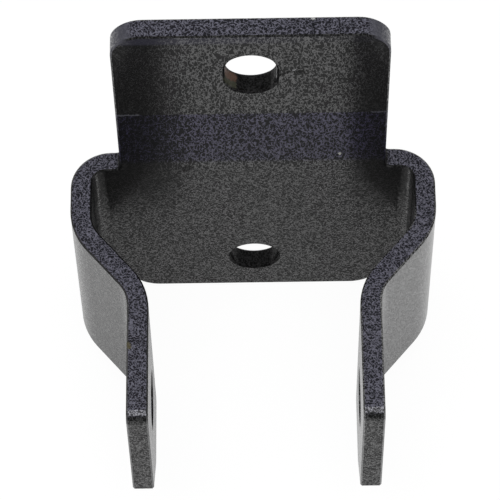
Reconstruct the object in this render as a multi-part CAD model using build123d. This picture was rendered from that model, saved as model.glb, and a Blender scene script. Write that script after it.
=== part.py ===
"""A U bracket folded from one piece of steel plate.

The flat blank is a cross: an upright plate with a wing on each side. Each wing is bent forward
round a back corner, joggled inwards and then runs straight on as an arm, so the two arms form a
clevis in front of the upright plate.

Frame: X across the bracket, -Y the way the arms point, +Z up. Y = 0 is the flat back face and
Z = 0 is the top edge of the wings and arms, half way up the upright plate.
"""
import os
from math import radians, tan

from build123d import *

# ---- plate ----
plate_t = 6.35          # steel plate, coated
edge_break = 0.5        # every sharp edge is broken before the plate is coated

# ---- upright plate ----
upright_w = 79.4        # flat width, fits between the two back bends
upright_above = 73.0    # height above the top edge of the wings
upright_below = 73.0    # height below it
upright_corner = 9.5    # rounded corners
root_fillet = 1.8       # inside corners where a wing leaves the upright plate

# ---- folded strip ----
overall_w = 109.0       # over the outsides of the wings
wing_h = 63.5           # height of the wings and arms
reach = 89.5            # from the back face to the front ends of the arms
gap = 62.0              # between the inner faces of the arms
back_r_out = 12.0       # back bends: outside and inside radius, the plate thins a little
back_r_in = 4.0
joggle_start = 27.5     # from the back face to where the joggle's outer faces would meet
joggle_deg = 40.0       # how far the wings turn inwards
joggle_r_out = 21.0     # joggle bends: outside and inside radius
joggle_r_in = 10.5

# ---- arm ends ----
arm_top_r = 3.2         # rounded upper front corner
arm_cut = 15.5          # cut off the lower front corner at 45 degrees

# ---- holes ----
bolt_hole_d = 15.0      # lower hole and slot width, for 14 mm or 9/16 in bolts
hole_edge = 18.2        # from the lower end of the plate to the middle of the hole
slot_l = 19.5           # slot in the upper part, its length up and down
slot_edge = 20.2        # from the upper end of the plate to the middle of the slot
pin_d = 17.5            # cross hole through both arms
pin_back = 21.0         # pin axis from the front ends of the arms
pin_drop = 30.0         # pin axis below the top edge


def joggle_corners(half_w, half_gap, first_y):
    """Sharp corners of one line of the joggle, outermost first, on the +X side."""
    run = (half_w - half_gap) / tan(radians(joggle_deg))
    return (half_w, first_y), (half_gap, first_y - run)


def strip_line(half_w, half_gap, back_y, first_y, radii):
    """One face of the folded strip seen from above, from the left arm end to the right one."""
    side, arm = joggle_corners(half_w, half_gap, first_y)
    right = [(half_w, back_y), side, arm, (half_gap, -reach)]
    left = [(-x, y) for x, y in reversed(right)]
    return FilletPolyline(*left, *right, radius=radii + radii[::-1])


def folded_strip():
    """Wings and arms: the strip's section extruded down from the top edge."""
    half_w, half_gap = overall_w / 2, gap / 2
    # the inner faces meet a little further back than the outer ones
    shift = plate_t * tan(radians(joggle_deg / 2))
    outer = strip_line(half_w, half_gap + plate_t, 0, -joggle_start,
                       [joggle_r_in, joggle_r_out, back_r_out])
    inner = strip_line(half_w - plate_t, half_gap, -plate_t, -joggle_start + shift,
                       [joggle_r_out, joggle_r_in, back_r_in])
    ends = [Line(outer @ 0, inner @ 0), Line(outer @ 1, inner @ 1)]
    section = make_face([outer, inner] + ends)
    return extrude(section, wing_h, dir=(0, 0, -1))


def side_outline():
    """Outline of the arms seen from the side, as a block that trims the strip to it."""
    block = Box(overall_w + 2, reach + 1, wing_h,
                align=(Align.CENTER, Align.MIN, Align.MAX)).moved(Location((0, -reach, 0)))
    front = block.edges().filter_by(Axis.X).group_by(Axis.Y)[0].sort_by(Axis.Z)
    block = chamfer(front[0], arm_cut)
    top_front = block.edges().filter_by(Axis.X).group_by(Axis.Z)[-1].sort_by(Axis.Y)[0]
    return fillet(top_front, arm_top_r)


def upright_plate():
    """Upright plate with rounded corners, from the back face forward."""
    height = upright_above + upright_below
    outline = RectangleRounded(upright_w, height, upright_corner)
    middle = (upright_above - upright_below) / 2
    return extrude(Plane((0, 0, middle), x_dir=(1, 0, 0), z_dir=(0, -1, 0)) * outline, plate_t)


def upright_holes():
    """Cutters for the lower hole and the upper slot."""
    front = Plane((0, 1, 0), x_dir=(1, 0, 0), z_dir=(0, -1, 0))
    hole = Pos(0, -upright_below + hole_edge) * Circle(bolt_hole_d / 2)
    slot = Pos(0, upright_above - slot_edge) * SlotOverall(slot_l, bolt_hole_d, rotation=90)
    return extrude(front * (hole + slot), plate_t + 2)


def pin_hole():
    """Cutter for the cross hole through both arms."""
    axis_at = Location((0, -reach + pin_back, -pin_drop), (0, 90, 0))
    return Cylinder(pin_d / 2, overall_w + 2).moved(axis_at)


def root_edges(solid):
    """The four inside corners between the upright plate and the wings."""
    across = solid.edges().filter_by(Axis.Y)
    return across.filter_by(lambda e: abs(abs(e.center().X) - upright_w / 2) < 0.01
                            and min(abs(e.center().Z), abs(e.center().Z + wing_h)) < 0.01)


def sharp_edges(solid):
    """Every edge where two faces meet at a corner and don't run on into each other."""
    found = ShapeList()
    faces = [(face, face.edges()) for face in solid.faces()]
    for edge in solid.edges():
        sides = [face for face, rim in faces if any(edge.is_same(other) for other in rim)]
        middle = edge @ 0.5
        if len(sides) == 2 and sides[0].normal_at(middle).get_angle(sides[1].normal_at(middle)) > 20:
            found.append(edge)
    return found


bracket = (folded_strip() & side_outline()) + upright_plate()
bracket = fillet(root_edges(bracket), root_fillet)
bracket -= upright_holes()
bracket -= pin_hole()
bracket = chamfer(sharp_edges(bracket), edge_break)
bracket.label = "bracket"

os.makedirs("parts", exist_ok=True)
export_step(bracket, "parts/bracket.step")
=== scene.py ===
import bpy
from math import cos, pi, radians, sin
from mathutils import Matrix, Vector


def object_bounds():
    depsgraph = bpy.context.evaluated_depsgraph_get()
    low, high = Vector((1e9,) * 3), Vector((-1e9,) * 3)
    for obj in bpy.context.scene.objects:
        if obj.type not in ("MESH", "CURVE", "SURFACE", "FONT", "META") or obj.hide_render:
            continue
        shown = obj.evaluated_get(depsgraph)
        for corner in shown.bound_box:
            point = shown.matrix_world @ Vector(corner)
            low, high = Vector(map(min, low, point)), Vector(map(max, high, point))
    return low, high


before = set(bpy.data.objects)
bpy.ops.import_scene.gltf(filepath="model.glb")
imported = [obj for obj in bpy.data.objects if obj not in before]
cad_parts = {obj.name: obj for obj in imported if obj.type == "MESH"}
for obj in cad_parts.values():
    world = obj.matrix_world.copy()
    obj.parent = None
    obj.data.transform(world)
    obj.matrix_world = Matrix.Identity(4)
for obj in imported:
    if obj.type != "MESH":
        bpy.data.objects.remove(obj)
cadLow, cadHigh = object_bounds()
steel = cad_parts["bracket"]
plateFront = -0.00635           # front face of the upright plate
print("frame loaded, box", [round(v, 4) for v in cadHigh - cadLow])


view = {
    "aim": (-0.00104, -0.0400, 0.01036),
    "distance": 0.8988,
    "elevation": 61.22,
    "azimuth": -0.525,
    "roll": -1.265,
    "lens": 221.8,
    "sensor": 36.0,
    "farthest": 20.0,           # it has to see the whole floor
}


def addCamera():
    up, turn, roll = (radians(view[key]) for key in ("elevation", "azimuth", "roll"))
    forward = Vector((sin(turn) * cos(up), cos(turn) * cos(up), -sin(up)))
    right = forward.cross(Vector((0, 0, 1))).normalized()
    over = right.cross(forward)
    rolledRight = cos(roll) * right + sin(roll) * over
    rolledUp = cos(roll) * over - sin(roll) * right
    lens = bpy.data.cameras.new("camera")
    lens.lens = view["lens"]
    lens.sensor_width = view["sensor"]
    lens.clip_end = view["farthest"]
    camera = bpy.data.objects.new("camera", lens)
    camera.matrix_world = (Matrix.Translation(Vector(view["aim"]) - forward * view["distance"])
                           @ Matrix((rolledRight, rolledUp, -forward)).transposed().to_4x4())
    bpy.context.scene.collection.objects.link(camera)
    bpy.context.scene.camera = camera


addCamera()
bpy.context.scene.view_settings.view_transform = "Standard"
print("camera set")


def feed(tree, socket, value):
    # a socket is linked, anything else is typed in
    if isinstance(value, bpy.types.NodeSocket):
        tree.links.new(value, socket)
    else:
        socket.default_value = value


def calc(tree, operation, *values, clamp=False):
    node = tree.nodes.new("ShaderNodeMath")
    node.operation = operation
    node.use_clamp = clamp
    for socket, value in zip(node.inputs, values):
        feed(tree, socket, value)
    return node.outputs[0]


def allOf(tree, first, *others):
    # masks multiplied: 1 only where every one of them is 1
    for other in others:
        first = calc(tree, "MULTIPLY", first, other)
    return first


def parts(tree, vector):
    node = tree.nodes.new("ShaderNodeSeparateXYZ")
    tree.links.new(vector, node.inputs[0])
    return node.outputs


def vectorCalc(tree, operation, *values):
    node = tree.nodes.new("ShaderNodeVectorMath")
    node.operation = operation
    for socket, value in zip(node.inputs, values):
        feed(tree, socket, value)
    return node.outputs["Value" if operation in ("DOT_PRODUCT", "LENGTH", "DISTANCE") else "Vector"]


def ramp(tree, value, low, high, fromValue=0.0, toValue=1.0):
    # smooth step from low to high
    node = tree.nodes.new("ShaderNodeMapRange")
    node.interpolation_type = "SMOOTHSTEP"
    for name, given in (("Value", value), ("From Min", low), ("From Max", high),
                        ("To Min", fromValue), ("To Max", toValue)):
        feed(tree, node.inputs[name], given)
    return node.outputs["Result"]


def mixColour(tree, amount, first, second):
    node = tree.nodes.new("ShaderNodeMix")
    node.data_type = "RGBA"
    startColour, endColour = node.inputs[6], node.inputs[7]     # the A and B for colours
    feed(tree, node.inputs["Factor"], amount)
    for socket, value in ((startColour, first), (endColour, second)):
        feed(tree, socket, value if isinstance(value, bpy.types.NodeSocket) else (*value, 1))
    return node.outputs[2]      # and the Result for colours


def newGroup(name, inputs, outputs):
    tree = bpy.data.node_groups.new(name, "ShaderNodeTree")
    for direction, sockets in (("INPUT", inputs), ("OUTPUT", outputs)):
        for label, kind in sockets.items():
            tree.interface.new_socket(name=label, in_out=direction, socket_type="NodeSocket" + kind)
    return tree, tree.nodes.new("NodeGroupInput").outputs, tree.nodes.new("NodeGroupOutput").inputs


def place(tree, group, **values):
    node = tree.nodes.new("ShaderNodeGroup")
    node.node_tree = group
    for name, value in values.items():
        feed(tree, node.inputs[name], value)
    return node.outputs


studio = {
    "floorColour": 0.86,
    "floorGlow": 0.94,          # how much of the white that the camera sees is the floor's own
    "floorSeen": 0.09,          # the rest is lit, so that it keeps the shadow
    "floorMirrored": 0.40,      # share of that glow which the coat mirrors
    "floorSize": 6.0,
    "world": 0.30,
    "boxRadiance": 2.4,
    "boxSize": (1.5, 1.1),
    "boxAt": (-0.06, -0.20, 1.15),    # it looks at the origin from there
}


def addFloor():
    half = studio["floorSize"] / 2
    corners = [(-half, -half), (half, -half), (half, half), (-half, half)]
    mesh = bpy.data.meshes.new("floor")
    mesh.from_pydata([(x, y, cadLow.z) for x, y in corners], [], [(0, 1, 2, 3)])
    floor = bpy.data.objects.new("floor", mesh)
    bpy.context.scene.collection.objects.link(floor)
    material = bpy.data.materials.new("floor")
    material.use_nodes = True
    tree = material.node_tree
    tree.nodes.clear()
    path = tree.nodes.new("ShaderNodeLightPath").outputs
    seen = calc(tree, "MAXIMUM", path["Is Camera Ray"], path["Is Transmission Ray"])
    mirrored = calc(tree, "MULTIPLY", path["Is Glossy Ray"], studio["floorMirrored"])
    seen = calc(tree, "MAXIMUM", seen, mirrored)
    matt = tree.nodes.new("ShaderNodeBsdfDiffuse")
    lit, seenLit = (studio["floorColour"],) * 3, (studio["floorSeen"],) * 3
    feed(tree, matt.inputs["Color"], mixColour(tree, seen, lit, seenLit))
    glow = tree.nodes.new("ShaderNodeEmission")
    glow.inputs["Color"].default_value = (1, 1, 1, 1)
    feed(tree, glow.inputs["Strength"], calc(tree, "MULTIPLY", seen, studio["floorGlow"]))
    both = tree.nodes.new("ShaderNodeAddShader")
    tree.links.new(matt.outputs[0], both.inputs[0])
    tree.links.new(glow.outputs[0], both.inputs[1])
    tree.links.new(both.outputs[0], tree.nodes.new("ShaderNodeOutputMaterial").inputs["Surface"])
    mesh.materials.append(material)


def addLights():
    world = bpy.data.worlds.new("studio")
    world.use_nodes = True
    sky = world.node_tree.nodes["Background"]
    sky.inputs["Color"].default_value = (1, 1, 1, 1)
    sky.inputs["Strength"].default_value = studio["world"]
    bpy.context.scene.world = world
    light = bpy.data.lights.new("softbox", "AREA")
    light.shape = "RECTANGLE"
    light.size, light.size_y = studio["boxSize"]
    light.energy = studio["boxRadiance"] * pi * light.size * light.size_y
    box = bpy.data.objects.new("softbox", light)
    spot = Vector(studio["boxAt"])
    box.matrix_world = Matrix.Translation(spot) @ spot.to_track_quat("Z", "Y").to_matrix().to_4x4()
    bpy.context.scene.collection.objects.link(box)


addFloor()
addLights()
print("studio set")


coat = {
    "valley": (0.0035, 0.0035, 0.0037),
    "ridge": (0.026, 0.026, 0.027),
    "topValleyLit": (0.010, 0.010, 0.014),
    "topRidgeLit": (0.126, 0.124, 0.165),
    "facingUp": (0.75, 0.95),   # how far a face is turned up where painted light takes over: a paler, bluer coat standing in for light from above
    "veins": 1180.0,            # per metre
    "veinWidth": 0.10,
    "veinDetail": 1.0,
    "veinCurl": 0.4,
    "drawnDown": 0.55,          # above the wings the veins are longer up and down
    "relief": 0.00003,
    "fray": (1400.0, 0.0016),   # how often and how far the marks wander
    "roughness": 0.45,
    "specular": 0.05,
    "gloss": 0.13,              # roughness of the gloss
    "glossIor": 1.8,
    "valleyGloss": 0.19,        # how much of it is left between the ridges
    "wornGloss": 0.1,           # and in the marks
}

sides = {                       # the side faces of the joggles and arms
    "facing": (0.3, 0.6),
    "ahead": (-0.024, -0.018),  # they begin in front of the back bends
    "across": (-0.01, 0.01),    # the change from the -X side to the +X side
    "gloss": (0.44, 0.62),      # added between the veins, on the -X and on the +X side
    "colour": (0.200, 0.200, 0.202),    # painted light: the veins are painted a little paler on the +X side, as if lit more from there
    "strength": 0.90,
}

band = {                        # a bluer coat with less gloss across the plate's front
    "low": (0.003, 0.006),
    "high": (0.0312, 0.0318),
    "front": (0.5 * plateFront, 0.8 * plateFront),      # the back has none
    "upward": (0.0, 0.5),       # it ends where a face turns up
    "ridge": (0.056, 0.050, 0.112),
    "valley": (0.001, 0.001, 0.004),
    "gloss": 0.58,              # of what it is elsewhere
}

edgeShade = {                       # painted shade: the coat is darkened towards the plate's sides, above all in its upper part, standing in for the dark arms mirrored there
    "middle": 0.0040,           # it reaches a little further in on the -X side
    "across": (0.018, 0.036),
    "level": (-0.042, 0.002),
    "front": (plateFront - 0.0015, plateFront - 0.0005),
    "facing": (-0.6, -0.9),     # only on faces that look forward
    "gloss": 0.44,              # what is left of it there
    "colour": 0.50,
    "veins": 0.40,              # and how wide the veins still are
}

lip = {                         # a smoother, bluer coat under the plate's top edge, most of all on the left
    "low": (0.0685, 0.0700),
    "across": (-0.010, 0.020),
    "strength": (0.8, 0.15),    # on the left and on the right
    "upward": (0.3, 0.6),
    "colour": (0.030, 0.029, 0.046),
}

shoulder = {                    # painted highlight: a smooth, paler coat round the plate's upper corners
    "low": (0.0610, 0.0640),
    "facing": (0.25, 0.5),
    "strength": 0.8,
    "colour": (0.075, 0.075, 0.094),
}

bore = {                        # darker coat inside the two holes: partly a thinner coat, partly painted shade in the recess
    "slot": ((0.0, 0.0, 0.05055), (0.0, 0.0, 0.05505)),     # both ends of its middle line
    "hole": ((0.0, 0.0, -0.0549), (0.0, 0.0, -0.0547)),
    "reach": 0.0081,            # a little over half the holes' width
    "ridge": (0.016, 0.016, 0.017),
    "valley": (0.002, 0.002, 0.002),
    "gloss": 0.28,
}

# scratches, specks and stains in the coat, and a painted highlight on the slot's rim: its middle line, half
# its width, how strong it is and its colour
marks = {
    "scratchNear": {"from": (0.0079, plateFront, 0.0522), "to": (0.0122, plateFront, 0.0548),
                    "width": 0.0006, "strength": 0.9, "colour": (0.003, 0.003, 0.003)},
    "scratchFar": {"from": (0.0122, plateFront, 0.0548), "to": (0.0156, plateFront, 0.0568),
                   "width": 0.0006, "strength": 0.7, "colour": (0.003, 0.003, 0.003)},
    "smudge": {"from": (0.0136, plateFront, 0.0536), "to": (0.0142, plateFront, 0.0538),
               "width": 0.0016, "strength": 0.6, "colour": (0.004, 0.004, 0.004)},
    "scratchCore": {"from": (0.0118, plateFront, 0.0546), "to": (0.0132, plateFront, 0.0555),
                    "width": 0.00035, "strength": 1.0, "colour": (0.35, 0.35, 0.36)},
    "speck": {"from": (0.0259, plateFront, 0.0078), "to": (0.0260, plateFront, 0.0082),
              "width": 0.0006, "strength": 0.9, "colour": (0.55, 0.55, 0.52)},
    "blob": {"from": (-0.0199, plateFront, -0.0002), "to": (-0.0193, plateFront, 0.0010),
             "width": 0.0021, "strength": 0.55, "colour": (0.003, 0.003, 0.003)},
    "lineLeft": {"from": (-0.0297, plateFront, -0.0148), "to": (-0.0227, plateFront, -0.0148),
                 "width": 0.0004, "strength": 0.7, "colour": (0.09, 0.09, 0.09)},
    "lineRight": {"from": (0.0156, plateFront, -0.0152), "to": (0.0242, plateFront, -0.0152),
                  "width": 0.0004, "strength": 0.7, "colour": (0.09, 0.09, 0.09)},
    "bandTopLeft": {"from": (-0.0390, plateFront, 0.0315), "to": (-0.0330, plateFront, 0.0315),
                 "width": 0.0005, "strength": 0.6, "colour": (0.11, 0.11, 0.13)},
    "bandTopRight": {"from": (0.0350, plateFront, 0.0315), "to": (0.0395, plateFront, 0.0315),
                  "width": 0.0005, "strength": 0.5, "colour": (0.10, 0.10, 0.12)},
    "nickTop": {"from": (0.0175, 0.0, cadHigh.z), "to": (0.0175, plateFront, cadHigh.z),
                "width": 0.0006, "strength": 0.6, "colour": (0.006, 0.006, 0.007)},
    "nickBack": {"from": (0.0175, -0.0004, cadHigh.z), "to": (0.0178, -0.0004, cadHigh.z),
                 "width": 0.0008, "strength": 0.9, "colour": (0.45, 0.45, 0.45)},
    "nickFront": {"from": (0.0175, plateFront, cadHigh.z - 0.0005),
                  "to": (0.0177, plateFront, cadHigh.z - 0.0040),
                  "width": 0.0005, "strength": 0.35, "colour": (0.003, 0.003, 0.003)},
    "rustSlot": {"from": (-0.0073, -0.0030, 0.0495), "to": (-0.0052, -0.0022, 0.0452),
                 "width": 0.0019, "strength": 0.55, "colour": (0.26, 0.15, 0.105)},
    "oliveSlot": {"from": (-0.0074, -0.0052, 0.0500), "to": (-0.0050, -0.0047, 0.0450),
                  "width": 0.0015, "strength": 0.5, "colour": (0.12, 0.125, 0.085)},
    # painted highlight on the slot's rim
    "rimHighlight": {"from": (0.0075, -0.0012, 0.0506), "to": (0.0073, -0.0048, 0.0490),
                  "width": 0.0007, "strength": 0.9, "colour": (0.50, 0.50, 0.51)},
    "rustArm": {"from": (-0.0370, -0.0650, -0.0002), "to": (-0.0366, -0.0658, 0.0),
                "width": 0.0010, "strength": 0.7, "colour": (0.10, 0.085, 0.04)},
}


def veinGroup():
    # worm-like ridges of a vein finish, where a noise crosses its middle value
    inputs = {"Position": "Vector", "Scale": "Float", "Width": "Float"}
    tree, given, out = newGroup("coatVeins", inputs, {"Ridge": "Float"})
    noise = tree.nodes.new("ShaderNodeTexNoise")
    noise.inputs["Detail"].default_value = coat["veinDetail"]
    noise.inputs["Distortion"].default_value = coat["veinCurl"]
    feed(tree, noise.inputs["Vector"], given["Position"])
    feed(tree, noise.inputs["Scale"], given["Scale"])
    off = calc(tree, "ABSOLUTE", calc(tree, "SUBTRACT", noise.outputs[0], 0.5))
    feed(tree, out["Ridge"], ramp(tree, off, 0.0, given["Width"], 1.0, 0.0))
    return tree


def markGroup():
    # 1 along the line from Start to End, fading out from half of Width to Width beside it
    inputs = {"Position": "Vector", "Start": "Vector", "End": "Vector", "Width": "Float"}
    tree, given, out = newGroup("markAlongLine", inputs, {"Mask": "Float"})
    run = vectorCalc(tree, "SUBTRACT", given["End"], given["Start"])
    reach = vectorCalc(tree, "SUBTRACT", given["Position"], given["Start"])
    share = calc(tree, "DIVIDE", vectorCalc(tree, "DOT_PRODUCT", reach, run),
                 vectorCalc(tree, "DOT_PRODUCT", run, run), clamp=True)
    foot = tree.nodes.new("ShaderNodeVectorMath")
    foot.operation = "SCALE"
    tree.links.new(run, foot.inputs[0])
    feed(tree, foot.inputs["Scale"], share)
    away = vectorCalc(tree, "DISTANCE", reach, foot.outputs[0])
    inner = calc(tree, "MULTIPLY", given["Width"], 0.5)
    feed(tree, out["Mask"], ramp(tree, away, inner, given["Width"], 1.0, 0.0))
    return tree


def boreGroup():
    # 1 inside a hole across the plate, given by the ends of its middle line
    inputs = {"Position": "Vector", "Start": "Vector", "End": "Vector", "Reach": "Float"}
    tree, given, out = newGroup("holeWall", inputs, {"Mask": "Float"})
    flat = vectorCalc(tree, "MULTIPLY", given["Position"], (1, 0, 1))
    nearest = vectorCalc(tree, "MAXIMUM", given["Start"], vectorCalc(tree, "MINIMUM", flat, given["End"]))
    away = vectorCalc(tree, "DISTANCE", flat, nearest)
    feed(tree, out["Mask"], calc(tree, "LESS_THAN", away, given["Reach"]))
    return tree


def coatAreas(tree, spot, normal):
    # masks for the areas where the coat differs, and where light and shade are painted on
    across, along, level = parts(tree, spot)
    facingX, facingY, facingZ = parts(tree, normal)
    sideways = calc(tree, "ABSOLUTE", facingX)
    outward = calc(tree, "ABSOLUTE", calc(tree, "SUBTRACT", across, edgeShade["middle"]))
    areas = {"upward": ramp(tree, facingZ, *coat["facingUp"])}
    areas["gripped"] = allOf(tree,
                             ramp(tree, level, *band["low"]),
                             ramp(tree, level, *band["high"], 1.0, 0.0),
                             ramp(tree, areas["upward"], *band["upward"], 1.0, 0.0),
                             ramp(tree, along, *band["front"]))
    areas["ran"] = allOf(tree,
                         ramp(tree, level, *lip["low"]),
                         ramp(tree, across, *lip["across"], *lip["strength"]),
                         ramp(tree, facingZ, *lip["upward"], 1.0, 0.0))
    areas["rounded"] = allOf(tree,
                             ramp(tree, level, *shoulder["low"]),
                             ramp(tree, sideways, *shoulder["facing"]),
                             shoulder["strength"])
    areas["dark"] = allOf(tree,
                          ramp(tree, outward, *edgeShade["across"]),
                          ramp(tree, level, *edgeShade["level"]),
                          ramp(tree, along, *edgeShade["front"]),
                          ramp(tree, facingY, *edgeShade["facing"]))
    areas["side"] = allOf(tree,
                          ramp(tree, sideways, *sides["facing"]),
                          ramp(tree, along, *sides["ahead"], 1.0, 0.0))
    areas["sunny"] = allOf(tree, areas["side"], ramp(tree, across, *sides["across"], 0.0, sides["strength"]))
    areas["sideGloss"] = allOf(tree, areas["side"], ramp(tree, across, *sides["across"], *sides["gloss"]))
    wall = boreGroup()
    inside = []
    for name in ("slot", "hole"):
        start, end = bore[name]
        inside.append(place(tree, wall, Position=spot, Start=start, End=end, Reach=bore["reach"])["Mask"])
    areas["inside"] = calc(tree, "MAXIMUM", *inside)
    return areas


def coatRidges(tree, spot, dark):
    # the veins, drawn out above the wings and thinner under the painted shade
    across, along, level = parts(tree, spot)
    above = calc(tree, "MULTIPLY", calc(tree, "MAXIMUM", level, 0.0), coat["drawnDown"])
    drawn = tree.nodes.new("ShaderNodeCombineXYZ")
    feed(tree, drawn.inputs["X"], across)
    feed(tree, drawn.inputs["Y"], along)
    feed(tree, drawn.inputs["Z"], calc(tree, "ADD", above, calc(tree, "MINIMUM", level, 0.0)))
    width = ramp(tree, dark, 0.0, 1.0, coat["veinWidth"], coat["veinWidth"] * edgeShade["veins"])
    return place(tree, veinGroup(), Position=drawn.outputs[0], Scale=coat["veins"], Width=width)["Ridge"]


def coatColour(tree, areas, veins):
    # the ground between the veins, the veins, and what lies over both
    valley = mixColour(tree, areas["gripped"], coat["valley"], band["valley"])
    # painted light: upward faces take paler, bluer colours, as if lit from above
    valley = mixColour(tree, areas["upward"], valley, coat["topValleyLit"])
    # darker inside the holes: thinner coat and painted shade
    valley = mixColour(tree, areas["inside"], valley, bore["valley"])
    ridge = mixColour(tree, areas["gripped"], coat["ridge"], band["ridge"])
    ridge = mixColour(tree, areas["upward"], ridge, coat["topRidgeLit"])
    ridge = mixColour(tree, areas["inside"], ridge, bore["ridge"])
    colour = mixColour(tree, veins, valley, ridge)
    # painted shade towards the plate's sides
    dark = allOf(tree, areas["dark"], edgeShade["colour"])
    colour = mixColour(tree, dark, colour, coat["valley"])
    # painted light on the side faces of the +X side
    sunny = allOf(tree, areas["sunny"], veins)
    colour = mixColour(tree, sunny, colour, sides["colour"])
    colour = mixColour(tree, areas["ran"], colour, lip["colour"])
    # painted highlight on the plate's upper corners
    return mixColour(tree, areas["rounded"], colour, shoulder["colour"])


def addMarks(tree, spot, colour):
    # each mark over the last, on a position that wanders so that their edges fray
    often, far = coat["fray"]
    fray = tree.nodes.new("ShaderNodeTexNoise")
    tree.links.new(spot, fray.inputs["Vector"])
    fray.inputs["Scale"].default_value = often
    shift = vectorCalc(tree, "SUBTRACT", fray.outputs["Color"], (0.5, 0.5, 0.5))
    shift = vectorCalc(tree, "MULTIPLY", shift, (far, far, far))
    frayed = vectorCalc(tree, "ADD", spot, shift)
    line = markGroup()
    wornAndHighlight = 0.0
    for mark in marks.values():
        near = place(tree, line, Position=frayed, Start=mark["from"], End=mark["to"], Width=mark["width"])
        mask = calc(tree, "MULTIPLY", near["Mask"], mark["strength"])
        colour = mixColour(tree, mask, colour, mark["colour"])
        wornAndHighlight = calc(tree, "MAXIMUM", wornAndHighlight, mask)
    return colour, wornAndHighlight


def coatGloss(tree, areas, veins, wornAndHighlight):
    # full on the veins and less between them, then cut back area by area
    between = calc(tree, "ADD", areas["sideGloss"], coat["valleyGloss"], clamp=True)
    weight = ramp(tree, veins, 0.0, 1.0, between, 1.0)
    kept = [(areas["inside"], bore["gloss"]), (areas["gripped"], band["gloss"]),
            (areas["dark"], edgeShade["gloss"]), (wornAndHighlight, coat["wornGloss"])]
    for mask, left in kept:
        weight = calc(tree, "MULTIPLY", weight, ramp(tree, mask, 0.0, 1.0, 1.0, left))
    return weight


def coatMaterial():
    material = bpy.data.materials.new("coat")
    material.use_nodes = True
    tree = material.node_tree
    paint = tree.nodes["Principled BSDF"]
    texture = tree.nodes.new("ShaderNodeTexCoord").outputs
    spot = texture["Object"]
    areas = coatAreas(tree, spot, texture["Normal"])
    veins = coatRidges(tree, spot, areas["dark"])
    colour, wornAndHighlight = addMarks(tree, spot, coatColour(tree, areas, veins))
    feed(tree, paint.inputs["Base Color"], colour)
    feed(tree, paint.inputs["Coat Weight"], coatGloss(tree, areas, veins, wornAndHighlight))
    paint.inputs["Roughness"].default_value = coat["roughness"]
    paint.inputs["Specular IOR Level"].default_value = coat["specular"]
    paint.inputs["Coat Roughness"].default_value = coat["gloss"]
    paint.inputs["Coat IOR"].default_value = coat["glossIor"]
    bump = tree.nodes.new("ShaderNodeBump")
    bump.inputs["Distance"].default_value = coat["relief"]
    feed(tree, bump.inputs["Height"], veins)
    tree.links.new(bump.outputs[0], paint.inputs["Normal"])
    return material


for slot in steel.material_slots:
    slot.material = coatMaterial()
print("coat on")
